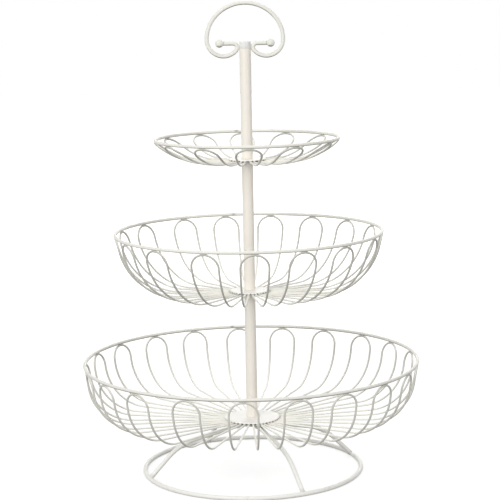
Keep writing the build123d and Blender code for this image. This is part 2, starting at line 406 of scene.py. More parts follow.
class Value:
    """A number or colour socket that takes part in Python sums."""

    def __init__(self, graph: "Graph", socket: bpy.types.NodeSocket) -> None:
        """Keeps the graph and the socket."""
        self.graph = graph
        self.socket = socket

    def _sum(self, operation: str, a: Number, b: Number) -> "Value":
        """Adds one Math node."""
        return self.graph.out("ShaderNodeMath", 0, {"operation": operation}, {0: a, 1: b})

    def __add__(self, other: Number) -> "Value":
        """self + other."""
        return self._sum("ADD", self, other)

    def __radd__(self, other: Number) -> "Value":
        """other + self."""
        return self._sum("ADD", other, self)

    def __sub__(self, other: Number) -> "Value":
        """self - other."""
        return self._sum("SUBTRACT", self, other)

    def __rsub__(self, other: Number) -> "Value":
        """other - self."""
        return self._sum("SUBTRACT", other, self)

    def __mul__(self, other: Number) -> "Value":
        """self * other."""
        return self._sum("MULTIPLY", self, other)

    def __rmul__(self, other: Number) -> "Value":
        """other * self."""
        return self._sum("MULTIPLY", other, self)

    def over(self, other: Number) -> "Value":
        """The larger of the two."""
        return self._sum("MAXIMUM", self, other)

    def fades(self, low: float, high: float) -> "Value":
        """A smooth step of this value, from 0 at low to 1 at high."""
        return self.graph.out("ShaderNodeMapRange", "Result", {"interpolation_type": "SMOOTHSTEP"},
                              {"Value": self, "From Min": low, "From Max": high})


class Graph:
    """The nodes of one material or of the world."""

    def __init__(self, owner: bpy.types.Material | bpy.types.World) -> None:
        """Empties the owner's nodes.

        Args:
            owner: The material or world that the nodes belong to.
        """
        owner.use_nodes = True
        self.tree = owner.node_tree
        self.tree.nodes.clear()

    def add(self, kind: str, settings: dict[str, object], sockets: dict[str | int, object]) -> bpy.types.Node:
        """Adds a node, gives it its settings first and then its socket values or links.

        Args:
            kind: The node's type.
            settings: Properties of the node.
            sockets: Inputs by name or number: a Value is linked, anything else is set.

        Returns:
            The node.
        """
        node = self.tree.nodes.new(kind)
        for key, setting in settings.items():
            setattr(node, key, setting)
        for key, content in sockets.items():
            if isinstance(content, Value):
                self.tree.links.new(content.socket, node.inputs[key])
            else:
                node.inputs[key].default_value = content
        return node

    def out(self, kind: str, output: str | int, settings: dict[str, object] | None = None,
            sockets: dict[str | int, object] | None = None) -> Value:
        """Adds a node and gives one of its outputs as a Value."""
        return Value(self, self.add(kind, settings or {}, sockets or {}).outputs[output])

    def place(self) -> Value:
        """Object coordinates, in metres."""
        return self.out("ShaderNodeTexCoord", "Object")

    def part(self, vector: Value, axis: str) -> Value:
        """One coordinate of a vector."""
        return self.out("ShaderNodeSeparateXYZ", axis, {}, {0: vector})

    def noise(self, place: Value, scale: float, detail: float = 2.0, roughness: float = 0.5) -> Value:
        """Noise from 0 to 1 with about scale lumps to a metre."""
        return self.out("ShaderNodeTexNoise", 0, {},
                        {"Vector": place, "Scale": scale, "Detail": detail, "Roughness": roughness})

    def cells(self, place: Value, scale: float, output: str) -> Value:
        """A value of random cells, with about scale of them to a metre."""
        return self.out("ShaderNodeTexVoronoi", output, {"feature": "F1"}, {"Vector": place, "Scale": scale})

    def attribute(self, name: str) -> Value:
        """A value that the mesh carries at its points."""
        return self.out("ShaderNodeAttribute", "Fac", {"attribute_name": name, "attribute_type": "GEOMETRY"})

    def blend(self, share: Number, a: object, b: object) -> Value:
        """Mixes two colours, b over a by the share."""
        return self.out("ShaderNodeMix", 2, {"data_type": "RGBA"}, {0: share, 6: a, 7: b})

    def bump(self, height: Value, strength: float, depth: float) -> Value:
        """A normal tilted by a height that is depth metres at 1."""
        return self.out("ShaderNodeBump", "Normal", {},
                        {"Height": height, "Strength": strength, "Distance": depth})

    def seen(self) -> Value:
        """1 for rays of the camera, of reflections and through clear things, and 0 for all others.

        Returns:
            The value.
        """
        path = self.add("ShaderNodeLightPath", {}, {})
        seen = Value(self, path.outputs["Is Camera Ray"])
        for ray in ("Is Glossy Ray", "Is Transmission Ray"):
            seen = seen.over(Value(self, path.outputs[ray]))
        return seen

    def finish(self, kind: str, sockets: dict[str | int, object],
               end: str = "ShaderNodeOutputMaterial") -> None:
        """Ends the graph with a shader and an output.

        Args:
            kind: The shader's type.
            sockets: Its inputs.
            end: The output's type.
        """
        shader = self.add(kind, {}, sockets)
        output = self.tree.nodes.new(end)
        self.tree.links.new(shader.outputs[0], output.inputs["Surface"])


@dataclass(frozen=True)
class Shares:
    """How much each feature of a coat counts in one channel of its shader."""

    film: float
    speck: float
    weld: float
    wear: float
    peel: float = 0.0


@dataclass(frozen=True)
class PowderCoat:
    """Satin powder coat on steel: orange peel, uneven film, fine specks, and wear down to primer.

    It has a colour for upright sides, a lighter one that tops and the film value blend towards, as painted
    light, and a darker one below, as painted shade, which also darkens welds and paints a disc's shadow in
    its gaps. Limits are where a mask starts and where it is full, and scales are in lumps to a metre.
    """

    name: str
    slot: Slot
    colour: Colour
    # The second colour is painted light on tops, and the third is painted shade below and the darker colour
    # of welds.
    lit_colour: Colour
    shade_and_weld_colour: Colour
    roughness: float = 0.52
    uneven: float = 0.4
    weld_and_gap_shade: float = 0.6
    under_shade_share: float = 0.65
    lit_topside: Limits = (0.1, 0.9)
    shaded_underside: Limits = (0.1, 1.0)
    wear: Wear = Wear.SHELF_NEW
    cloud_scale: float = 22.0
    film_scale: float = 240.0
    pools: Limits = (0.46, 0.66)
    peel_scale: float = 1500.0
    speck_scale: float = 620.0
    speck_edge: Limits = (0.05, 0.13)
    speck_share: float = 0.22
    speck_colour: Colour = (0.50, 0.46, 0.38, 1.0)
    weld_scale: float = 900.0
    rub_scale: float = 130.0
    nick_scale: float = 700.0
    worn: Limits = (0.61, 0.66)
    worn_spread: float = 0.06
    primer: Colour = (0.60, 0.57, 0.52, 1.0)
    primer_share: float = 0.5
    in_roughness: Shares = Shares(film=0.14, speck=0.1, weld=0.12, wear=0.12)
    in_height: Shares = Shares(film=0.9, speck=0.5, weld=2.2, wear=0.8, peel=0.55)

    def material(self) -> bpy.types.Material:
        """Builds the coat.

        Returns:
            The material.
        """
        material = bpy.data.materials.new(self.name)
        g = Graph(material)
        in_roughness, in_height = self.in_roughness, self.in_height
        place = g.place()
        cloud = g.noise(place, self.cloud_scale, detail=3.0)
        film = g.noise(place, self.film_scale, detail=4.0, roughness=0.6)
        peel = g.noise(place, self.peel_scale, detail=1.0)
        speck = 1.0 - g.cells(place, self.speck_scale, "Distance").fades(*self.speck_edge)
        weld = g.attribute("weld")
        facing = g.part(g.out("ShaderNodeNewGeometry", "Normal"), "Z")
        # Painted light and shade: tops are lightened towards the second colour and undersides darkened
        # towards the third.
        over, shaded_under = facing.fades(*self.lit_topside), (0.0 - facing).fades(*self.shaded_underside)
        pooled = (cloud * 0.5 + film * 0.5).fades(*self.pools)
        tone = g.blend(pooled * self.uneven + over * (1.0 - self.uneven), self.colour, self.lit_colour)
        # The film value lightens the tone as painted light.
        tone = g.blend(g.attribute("film"), tone, self.lit_colour)
        # Undersides take a painted shade; welds are darker, and a disc's gaps take a painted shadow through
        # the weld value.
        tone = g.blend((shaded_under * self.under_shade_share).over(weld * self.weld_and_gap_shade), tone, self.shade_and_weld_colour)
        tone = g.blend(speck * self.speck_share, tone, self.speck_colour)
        rough = self.roughness + (film - 0.5) * in_roughness.film + weld * in_roughness.weld
        rough = rough + speck * in_roughness.speck
        spatter = weld * g.noise(place, self.weld_scale, detail=3.0)
        height = peel * in_height.peel + film * in_height.film - speck * in_height.speck
        height = height + spatter * in_height.weld
        if self.wear is not Wear.SHELF_NEW:
            rubbed = g.noise(place, self.rub_scale, detail=5.0, roughness=0.68)
            scrape = rubbed * 0.6 + g.noise(place, self.nick_scale, detail=3.0) * 0.4
            low = self.worn[0] - self.worn_spread * self.wear.value
            bare = scrape.fades(low, self.worn[1]) * self.wear.value
            tone = g.blend(bare * self.primer_share, tone, self.primer)
            rough = rough - bare * in_roughness.wear
            height = height - bare * in_height.wear
        g.finish("ShaderNodeBsdfPrincipled", {
            "Base Color": tone, "Roughness": rough, "Normal": g.bump(height, strength=0.35, depth=0.12 * MM),
            "Specular IOR Level": 0.35, "Coat Roughness": 0.3, "Coat Weight": 0.05})
        return material


@dataclass(frozen=True)
class ZincPlate:
    """Bright zinc on a fastener: fine spangle, haze, and turning marks round the axis."""

    name: str
    slot: Slot
    colour: Colour = (0.62, 0.63, 0.64, 1.0)
    bright: Colour = (0.74, 0.75, 0.76, 1.0)
    dull: Colour = (0.47, 0.47, 0.46, 1.0)
    roughness: float = 0.28
    spangle_scale: float = 900.0
    haze_scale: float = 160.0
    hazy: Limits = (0.5, 0.72)
    mark_scale: float = 5200.0

    def material(self) -> bpy.types.Material:
        """Builds the plating.

        Returns:
            The material.
        """
        material = bpy.data.materials.new(self.name)
        g = Graph(material)
        place = g.place()
        shade = g.out("ShaderNodeSeparateColor", 0, {}, {0: g.cells(place, self.spangle_scale, "Color")})
        along = g.out("ShaderNodeCombineXYZ", 0, {}, {"Z": g.part(place, "Z")})
        marks = g.noise(along, self.mark_scale)
        haze = g.noise(place, self.haze_scale, detail=4.0, roughness=0.6)
        tone = g.blend(shade * 0.35, self.colour, self.bright)
        tone = g.blend(haze.fades(*self.hazy) * 0.4, tone, self.dull)
        g.finish("ShaderNodeBsdfPrincipled", {
            "Base Color": tone, "Metallic": 1.0, "Roughness": self.roughness + shade * 0.12 + haze * 0.16,
            "Normal": g.bump(marks, strength=0.3, depth=0.08 * MM)})
        return material


@dataclass(frozen=True)
class StudioPaper:
    """White paper under the stand, with the stand's shadow.

    To the camera and in reflections it glows. Round the stand the glow is less than white, so that the
    lamps make up the rest there and a shadow shows. It grows to plain white between the two distances.
    """

    name: str
    colour: Colour = (0.42, 0.42, 0.42, 1.0)
    lift: float = 0.69
    plain: Limits = (0.35, 1.1)
    fibre_scale: float = 900.0

    def material(self) -> bpy.types.Material:
        """Builds the paper.

        Returns:
            The material.
        """
        material = bpy.data.materials.new(self.name)
        g = Graph(material)
        place = g.place()
        reach = g.out("ShaderNodeVectorMath", "Value", {"operation": "LENGTH"}, {0: place})
        lift = self.lift + (1.0 - self.lift) * reach.fades(*self.plain)
        glow = g.blend(g.seen() * lift, (0.0, 0.0, 0.0, 1.0), (1.0, 1.0, 1.0, 1.0))
        g.finish("ShaderNodeBsdfPrincipled", {
            "Base Color": self.colour, "Roughness": 0.9, "Specular IOR Level": 0.1,
            "Normal": g.bump(g.noise(place, self.fibre_scale), strength=0.05, depth=0.2 * MM),
            "Emission Color": glow, "Emission Strength": 1.0})
        return material


# The stand has one ivory paint. These copies differ in brightness as painted light and shade, the petal wires
# greyest.
ON_TUBE = PowderCoat(
    "ivory_coat_on_tube", Slot.STAND, colour=(0.88, 0.83, 0.752, 1.0), lit_colour=(0.89, 0.855, 0.795, 1.0),
    shade_and_weld_colour=(0.76, 0.72, 0.66, 1.0))
# Rims: a dark painted shade line along the underside.
ON_ROD = PowderCoat(
    "ivory_coat_on_rod", Slot.BOWL, colour=(0.815, 0.805, 0.74, 1.0), lit_colour=(0.825, 0.816, 0.755, 1.0),
    shade_and_weld_colour=(0.26, 0.255, 0.225, 1.0), under_shade_share=0.9, shaded_underside=(0.3, 0.8))
# The bottom rim: darker than the other rims, with a darker underside, both painted shade.
ON_LOW_ROD = PowderCoat(
    "ivory_coat_on_low_rod", Slot.BOWL, colour=(0.76, 0.75, 0.69, 1.0), lit_colour=(0.82, 0.811, 0.75, 1.0),
    shade_and_weld_colour=(0.20, 0.197, 0.175, 1.0), under_shade_share=0.95, shaded_underside=(0.1, 0.7))
ON_HANDLE = replace(ON_ROD, name="ivory_coat_handled", slot=Slot.STAND, roughness=0.44, wear=Wear.HANDLED)
ON_LEG = PowderCoat(
    "ivory_coat_on_leg", Slot.STAND, colour=(0.89, 0.882, 0.835, 1.0), lit_colour=(0.89, 0.882, 0.84, 1.0),
    shade_and_weld_colour=(0.64, 0.632, 0.585, 1.0))
ON_RING = replace(ON_LEG, name="ivory_coat_rubbed", wear=Wear.RUBBED)
# Petal wires: greyer upright sides and undersides as painted shade, near-white floors as painted light.
ON_LOW_WIRE = PowderCoat(
    "shaded_coat_on_low_wire", Slot.BOWL, colour=(0.62, 0.611, 0.555, 1.0), lit_colour=(0.965, 0.952, 0.878, 1.0),
    shade_and_weld_colour=(0.42, 0.413, 0.362, 1.0), uneven=0.1, weld_and_gap_shade=0.4)
ON_HIGH_WIRE = PowderCoat(
    "shaded_coat_on_high_wire", Slot.BOWL, colour=(0.52, 0.513, 0.465, 1.0), lit_colour=(0.90, 0.887, 0.815, 1.0),
    shade_and_weld_colour=(0.32, 0.313, 0.268, 1.0), uneven=0.1, weld_and_gap_shade=0.3)
# The disc: its near-black third colour is a painted shadow in the gaps between wires and on its underside.
ON_DISC = PowderCoat(
    "ivory_coat_on_disc", Slot.BOWL, colour=(0.93, 0.915, 0.87, 1.0), lit_colour=(0.985, 0.97, 0.93, 1.0),
    shade_and_weld_colour=(0.05, 0.048, 0.045, 1.0), uneven=0.25, weld_and_gap_shade=0.9)
ON_COLLAR = PowderCoat(
    "pale_coat_on_collar", Slot.COLLAR, colour=(0.86, 0.86, 0.835, 1.0), lit_colour=(0.88, 0.88, 0.86, 1.0),
    shade_and_weld_colour=(0.70, 0.70, 0.68, 1.0))
ZINC = ZincPlate("zinc_on_fasteners", Slot.STEEL)


# Pieces

@dataclass
class Workshop:
    """Makes objects of surfaces, and gives each piece its finish and body."""

    mixed: dict[PowderCoat | ZincPlate, bpy.types.Material] = field(default_factory=dict)

    def material(self, finish: PowderCoat | ZincPlate) -> bpy.types.Material:
        """The finish as a material, built when a piece first needs it.

        Args:
            finish: The finish.

        Returns:
            The material.
        """
        if finish not in self.mixed:
            self.mixed[finish] = finish.material()
        return self.mixed[finish]

    def make(self, name: str, surface: Surface, finish: PowderCoat | ZincPlate, rides: Rides,
             node: str) -> None:
        """Makes one piece that stands for a node.

        Args:
            name: Name of the piece.
            surface: Its shape.
            finish: Its finish, which names the record's slot too.
            rides: The body that it moves with.
            node: The node of the part that it stands for.
        """
        mesh = bpy.data.meshes.new(name)
        quads, triangles = surface.quads, surface.triangles
        mesh.vertices.add(len(surface.points))
        mesh.vertices.foreach_set("co", surface.points.astype(np.float32).ravel())
        corners = np.concatenate([quads.ravel(), triangles.ravel()]).astype(np.int32)
        mesh.loops.add(len(corners))
        mesh.loops.foreach_set("vertex_index", corners)
        sizes = np.concatenate([np.full(len(quads), 4), np.full(len(triangles), 3)])
        mesh.polygons.add(len(sizes))
        mesh.polygons.foreach_set("loop_start", np.concatenate([[0], np.cumsum(sizes)[:-1]]).astype(np.int32))
        mesh.polygons.foreach_set("use_smooth", np.ones(len(sizes), bool))
        for label, values in (("weld", surface.weld), ("film", surface.film)):
            mesh.attributes.new(label, "FLOAT", "POINT").data.foreach_set("value", values.astype(np.float32))
        mesh.update(calc_edges=True)
        mesh.validate()
        piece = bpy.data.objects.new(name, mesh)
        bpy.context.scene.collection.objects.link(piece)
        mesh.materials.append(self.material(finish))
        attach(piece, rides.value)
        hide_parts(node)
        log.info("%s: %d faces, stands for %s", name, len(sizes), node)

    def dress(self, node: str, finish: PowderCoat | ZincPlate) -> None:
        """Gives a node of the part that stays in view its finish.

        Args:
            node: Name of the node.
            finish: Its finish.
        """
        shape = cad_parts[node]
        shape.data.materials.clear()
        shape.data.materials.append(self.material(finish))
        log.info("%s: dressed as it is", node)


@dataclass(frozen=True)
class Profile:
    """A bowl's section: a straight wall, an arc tangent to it, and a floor tangent to the arc.

    The wall and the slope are angles in radians, and the centre is that of the arc.
    """

    wall: float
    slope: float
    wall_length: float
    corner_length: float
    floor_end: float
    centre_r: float
    centre_z: float


@dataclass
class WireBowl:
    """One bowl: a round rim, looped petals under it and a disc over their inner ends.

    Angles are in degrees. The offsets are how far hand placing leaves each petal off its even place,
    from the front one on, anticlockwise from above. The painted light on the floor wires fades out over a
    rise measured up from them, and the painted shade under the disc starts at a distance out from the
    disc's edge. The top of the painted shadow in the disc's gaps is measured up from the disc's underside.
    """

    tier: str
    rides: Rides
    coat: PowderCoat
    rim_coat: PowderCoat
    rim_radius: float
    rim_height: float
    wire_height: float
    hub_radius: float
    wire_end: float
    floor_slope: float
    corner_radius: float
    wall_angle: float
    first_azimuth: float
    offsets: tuple[float, ...]
    # Share of painted light on the inner side of the wall.
    inner_side_light: float = 0.2
    rim_wire: float = 1.6 * MM
    rim_joint: float = 97.0
    rim_weld_reach: float = 3.5 * MM
    petal_wire: float = 1.0 * MM
    petal_sides: int = 12
    petal_weld_reach: float = 4.5 * MM
    petal_swell: float = 0.05
    half_width: float = 13.5 * MM
    seated: float = 0.12 * MM
    run_points: tuple[int, ...] = (6, 9, 34)
    arch_points: int = 41
    # Where the painted light of the floor fades and where the painted shade under the disc ends.
    floor_light_rise: Limits = (2.5 * MM, 8.0 * MM)
    disc_shade_start: Limits = (-1.5 * MM, 0.5 * MM)
    inner_side: Limits = (-0.9, 0.0)
    rim_bead: Sizes = (3.2 * MM, 0.75 * MM, 0.55 * MM)
    end_bead: Sizes = (2.4 * MM, 1.15 * MM, 0.3 * MM)
    end_bead_reach: float = 3.0 * MM
    end_bead_rise: float = 0.75 * MM
    hole_radius: float = 3.1 * MM
    disc_thickness: float = 1.5 * MM
    disc_edge: float = 0.45 * MM
    disc_margin: float = 0.1 * MM
    disc_sides: int = 288
    # The painted shadow in the disc's gaps between wires.
    gap_shade_width: float = 0.5 * MM
    gap_shade_top: Limits = (0.8 * MM, 1.1 * MM)

    def half_angle(self) -> float:
        """Angle that half a petal takes at the rim, seen from the axis."""
        return self.half_width / self.rim_radius

    def petal_top(self) -> float:
        """Height of a petal's centre line at its top, slightly seated in the rim above it."""
        return self.rim_height - self.rim_wire - self.petal_wire + self.seated

    def profile(self) -> Profile:
        """Where the wall, the corner and the floor meet.

        The corner's arc is tangent to both. Its foot is as far in from the rim as the arc and the
        straight wall above it reach.

        Returns:
            The bowl's section.
        """
        slope, wall = math.radians(self.floor_slope), math.radians(self.wall_angle)
        rise = self.corner_radius * (math.cos(slope) - math.cos(wall))
        run = self.corner_radius * (math.sin(wall) - math.sin(slope))
        lean = math.tan(slope) / math.tan(wall)
        wall_run = (self.petal_top() - self.wire_height - rise) / math.tan(wall)
        floor_end = (self.rim_radius - run - wall_run - self.hub_radius * lean) / (1.0 - lean)
        floor_end_height = self.wire_height + (floor_end - self.hub_radius) * math.tan(slope)
        centre_r = floor_end - self.corner_radius * math.sin(slope)
        centre_z = floor_end_height + self.corner_radius * math.cos(slope)
        wall_length = (self.rim_radius - centre_r - self.corner_radius * math.sin(wall)) / math.cos(wall)
        corner_length = self.corner_radius * (wall - slope)
        return Profile(wall, slope, wall_length, corner_length, floor_end, centre_r, centre_z)

    def section(self, distance: np.ndarray) -> tuple[np.ndarray, np.ndarray, np.ndarray]:
        """The bowl's profile at distances down from a petal's top: wall, corner arc, then floor.

        Args:
            distance: Lengths along the profile.

        Returns:
            Radius, height and slope angle there.
        """
        p = self.profile()
        past_wall = np.clip(distance - p.wall_length, 0.0, p.corner_length)
        past_corner = np.maximum(distance - p.wall_length - p.corner_length, 0.0)
        angle = p.wall - past_wall / self.corner_radius
        on_wall = np.minimum(distance, p.wall_length)
        r_wall = self.rim_radius - on_wall * math.cos(p.wall)
        z_wall = self.petal_top() - on_wall * math.sin(p.wall)
        r_arc = p.centre_r + self.corner_radius * np.sin(angle) - past_corner * math.cos(p.slope)
        z_arc = p.centre_z - self.corner_radius * np.cos(angle) - past_corner * math.sin(p.slope)
        straight = distance <= p.wall_length
        return np.where(straight, r_wall, r_arc), np.where(straight, z_wall, z_arc), angle

    def petal(self) -> Surface:
        """One petal about the +X direction: up a leg at one azimuth, over a half circle, down again.

        On the half circle the distance from the top is w (1 - sin t) and the azimuth is a cos t, where w
        is the half width and a the half angle that it takes at the rim.

        Returns:
            The petal's surface.
        """
        p = self.profile()
        corner_foot = p.wall_length + p.corner_length
        far = corner_foot + (p.floor_end - self.wire_end) / math.cos(p.slope)
        stops = (far, far - (self.hub_radius - self.wire_end), corner_foot, self.half_width)
        down = chain([np.linspace(start, end, count)[:, None]
                      for start, end, count in zip(stops, stops[1:], self.run_points)])[:-1, 0]
        t = np.linspace(0.0, math.pi, self.arch_points)
        leg_side = np.full(len(down), self.half_angle())
        distance = np.concatenate([down, self.half_width * (1.0 - np.sin(t)), down[::-1]])
        side = np.concatenate([leg_side, self.half_angle() * np.cos(t), -leg_side])
        r, z, angle = self.section(distance)
        radial = np.stack([np.cos(side), np.sin(side), np.zeros(len(side))], axis=-1)
        path = r[:, None] * radial + z[:, None] * Z_AXIS
        inward = np.cos(angle)[:, None] * Z_AXIS - np.sin(angle)[:, None] * radial
        petal = wire(path, inward, self.petal_wire, self.petal_sides, (0.0, 0.5, 1.0), self.petal_weld_reach,
                     swell=self.petal_swell)
        petal.film = self.film(petal)
        return petal

    def film(self, petal: Surface) -> np.ndarray:
        """How much painted light lightens the wire, from 0 to 1.

        It is 1 along the floor, less up the wall, and least on the wall's outer side, where the wire's own
        normal points away from the bowl's axis. Under the disc it is 0, which leaves the wire in painted
        shade.

        Args:
            petal: The wire about the +X direction.

        Returns:
            A value for each point of the petal.
        """
        rings = petal.points[:-2].reshape(-1, self.petal_sides, 3)
        middles = rings.mean(axis=1, keepdims=True)
        normal, radial = unit(rings - middles), unit(middles * (X_AXIS + Y_AXIS))
        outward = (normal * radial).sum(axis=-1)
        low, high = self.floor_light_rise
        on_wall = smooth_step(middles[..., 2], self.wire_height + low, self.wire_height + high)
        low, high = self.disc_shade_start
        from_axis = np.hypot(middles[..., 0], middles[..., 1])
        past_disc = smooth_step(from_axis, self.hub_radius + low, self.hub_radius + high)
        inside = self.inner_side_light * (1.0 - smooth_step(outward, *self.inner_side))
        film = past_disc * (1.0 - on_wall * (1.0 - inside))
        return np.concatenate([film.ravel(), film[[0, -1], 0]])

    def weld_beads(self) -> Surface:
        """The flattened lumps of weld where a petal's top meets the rim and its ends meet the disc.

        Returns:
            The lumps about the +X direction.
        """
        top = X_AXIS * self.rim_radius + Z_AXIS * (self.rim_height - self.rim_wire)
        beads = [bead(top, Y_AXIS, X_AXIS, self.rim_bead)]
        z = self.wire_height + self.end_bead_rise
        for side in (-self.half_angle(), self.half_angle()):
            out = np.array([math.cos(side), math.sin(side), 0.0])
            place = out * (self.wire_end + self.end_bead_reach) + Z_AXIS * z
            beads.append(bead(place, out, np.cross(Z_AXIS, out), self.end_bead))
        return joined(beads)

    def azimuths(self) -> np.ndarray:
        """The petals' azimuths in radians: even steps, plus the offsets."""
        even = self.first_azimuth + np.arange(len(self.offsets)) * 360.0 / len(self.offsets)
        return np.radians(even + self.offsets)

    def all_petals(self) -> Surface:
        """Every petal with its welds: the one at +X, turned about the axis to each azimuth."""
        one = joined([self.petal(), self.weld_beads()])
        return joined([one.turned_by(turn) for turn in self.azimuths()])

    def disc(self) -> Surface:
        """The hub disc: a flat washer with rounded edges, with a painted shadow in the gaps between wires.

        The painted shadow lies where the lower edge is over a wire's radius from the nearest wire, measured
        round it.

        Returns:
            The disc's surface.
        """
        bottom = self.wire_height + self.petal_wire
        disc = bored(self.hole_radius, self.hub_radius - self.disc_margin, bottom,
                     bottom + self.disc_thickness, self.disc_edge, spacing=3.0 * MM, sides=self.disc_sides)
        x, y, z = disc.points.T
        ends = np.concatenate([self.azimuths() - self.half_angle(), self.azimuths() + self.half_angle()])
        turn = np.arctan2(y, x)[:, None] - ends
        nearest = np.abs(np.mod(turn + math.pi, TURN) - math.pi).min(axis=1) * self.hub_radius
        # A painted shadow along the lower edge, in the gaps between wires, carried in the weld value.
        low, high = self.gap_shade_top
        below = 1.0 - smooth_step(z, bottom + low, bottom + high)
        gap_shade = smooth_step(nearest, self.petal_wire, self.petal_wire + self.gap_shade_width)
        disc.weld = below * gap_shade * (np.hypot(x, y) > self.wire_end)
        return disc

    def build(self, shop: Workshop) -> None:
        """Makes the bowl's pieces.

        Args:
            shop: Where they are made.
        """
        tier, rides = self.tier, self.rides
        rim = hoop(self.rim_radius, self.rim_height, self.rim_wire, sides=16, steps=360,
                   joint=self.rim_joint, weld_reach=self.rim_weld_reach)
        shop.make(f"{tier}_bowl_rim", rim, self.rim_coat, rides, f"{tier}_rim")
        shop.make(f"{tier}_bowl_petals", self.all_petals(), self.coat, rides, f"{tier}_petals")
        shop.make(f"{tier}_bowl_disc", self.disc(), ON_DISC, rides, f"{tier}_hub_disc")


@dataclass
class RingBase:
    """The ring on the table, its bent legs, and the plate, spacer and bolt at the hub.

    Angles are in degrees. The knee's radius is its distance from the axis, and a bend is the radius of an
    arc. The socket is half of its width across flats, and sixness says how six-sided each ring of it is.
    """

    ring_radius: float = 107.1 * MM
    ring_joint: float = 140.0
    ring_weld_reach: float = 4.0 * MM
    rod: float = 2.2 * MM
    leg_azimuths: tuple[tuple[str, float], ...] = (
        ("front", -64.0), ("right", 20.0), ("back", 116.0), ("left", -160.0))
    leg_start: float = 8.6 * MM
    leg_end_room: float = 0.6 * MM
    leg_weld_reach: float = 5.0 * MM
    shoulder_bend: float = 22.0 * MM
    knee_radius: float = 76.0 * MM
    knee_bend: float = 58.0 * MM
    toe_sunk: float = 0.2 * MM
    toe_weld: Sizes = (3.3 * MM, 2.3 * MM, 0.95 * MM)
    plate_radius: float = 18.0 * MM
    plate_margin: float = 0.15 * MM
    plate_top: float = 49.0 * MM
    plate_thickness: float = 2.0 * MM
    plate_edge: float = 0.5 * MM
    spacer_radius: float = 12.0 * MM
    spacer_margin: float = 0.1 * MM
    spacer_thickness: float = 2.7 * MM
    spacer_edge: float = 0.35 * MM
    hole_radius: float = 3.1 * MM
    bolt_head: float = 6.0 * MM
    bolt_height: float = 3.3 * MM
    bolt_side: float = 0.9 * MM
    bolt_edge: float = 0.3 * MM
    bolt_mouth: float = 3.1 * MM
    bolt_shank: float = 3.0 * MM
    bolt_sides: int = 96
    shank_top: float = 63.2 * MM
    shank_chamfer: float = 0.6 * MM
    socket: float = 2.0 * MM
    socket_heights: Sizes = (0.25 * MM, 1.7 * MM, 1.9 * MM)
    socket_flare: float = 0.2 * MM
    socket_lip: float = 0.02 * MM
    sixness: tuple[float, ...] = (0.0, 1.0, 1.0, 0.8)

    def leg(self) -> Surface:
        """A leg about the +X direction: level, a small bend, a slope, a knee, then 45 degrees down.

        The knee is an arc tangent to both slopes, and a short arc at the plate's edge joins the level
        end to the first one.

        Returns:
            The leg's surface.
        """
        top = self.plate_top - self.plate_thickness - self.rod
        foot = (self.ring_radius - self.rod * DIAGONAL, self.rod + self.rod * DIAGONAL)
        knee_z = foot[1] + (foot[0] - self.knee_radius)
        droop = math.atan2(top - knee_z, self.knee_radius - self.plate_radius)
        reach = self.knee_bend * math.tan((math.pi / 4.0 - droop) / 2.0)
        start = (self.knee_radius - reach * math.cos(droop), knee_z + reach * math.sin(droop))
        knee = (start[0] - self.knee_bend * math.sin(droop), start[1] - self.knee_bend * math.cos(droop))
        lead = self.plate_radius - self.shoulder_bend * math.tan(droop / 2.0)
        sloping = 90.0 - math.degrees(droop)
        bend_end = (knee[0] + self.knee_bend * DIAGONAL, knee[1] + self.knee_bend * DIAGONAL)
        line = chain([
            np.array([[self.leg_start + self.leg_end_room, top], [lead, top]]),
            arc((lead, top - self.shoulder_bend), self.shoulder_bend, 90.0, sloping, step=1.0 * MM),
            arc(knee, self.knee_bend, sloping, 45.0, step=1.5 * MM),
            np.linspace(bend_end, foot, 12)])
        leg = wire(upright(line), Y_AXIS, self.rod, sides=16, welds=(1.0,), weld_reach=self.leg_weld_reach,
                   end_length=0.2)
        middle = np.array([foot[0] - self.toe_sunk, 0.0, foot[1] - self.toe_sunk])
        toe = bead(middle, Y_AXIS, X_AXIS + Z_AXIS, self.toe_weld, rows=11, sides=16)
        return joined([leg, toe])

    def washer(self, radius: float, bottom: float, thickness: float, edge: float) -> Surface:
        """A flat round piece with a hole and rounded edges."""
        return bored(self.hole_radius, radius, bottom, bottom + thickness, edge, spacing=2.5 * MM, sides=72)

    def bolt(self) -> Surface:
        """The bolt: a low domed head with a six-sided socket in it, and its shank.

        Each ring has the radius r times 1 + s (h - 1). The sixness s is 0 for a circle, and h is one over
        the cosine of the angle from the middle of a hexagon's side.

        Returns:
            The bolt's surface.
        """
        seat = self.plate_top - self.plate_thickness
        low = seat - self.bolt_height
        lip, floor, point = self.socket_heights
        socket = [(TIP, low + point), (self.socket, low + floor), (self.socket, low + lip),
                  (self.socket + self.socket_flare, low + self.socket_lip)]
        swing = np.linspace(0.0, 1.0, 9) * QUARTER
        dome = np.stack([self.bolt_mouth + (self.bolt_head - self.bolt_mouth) * np.sin(swing),
                         low + (self.bolt_height - self.bolt_side) * (1.0 - np.cos(swing))], axis=-1)
        shank = [(self.bolt_head, seat - self.bolt_edge), (self.bolt_head - self.bolt_edge, seat),
                 (self.bolt_shank, seat), (self.bolt_shank, self.shank_top - self.shank_chamfer),
                 (self.bolt_shank - self.shank_chamfer, self.shank_top), (TIP, self.shank_top)]
        radii, heights = np.concatenate([socket, dome, shank]).T
        t = np.arange(self.bolt_sides) * TURN / self.bolt_sides
        hexagon = 1.0 / np.cos(np.mod(t, math.pi / 3.0) - math.pi / 6.0)
        sixness = np.zeros(len(radii))
        sixness[:len(socket)] = self.sixness
        return lathe(radii, heights, self.bolt_sides, facets=1.0 + sixness[:, None] * (hexagon - 1.0))

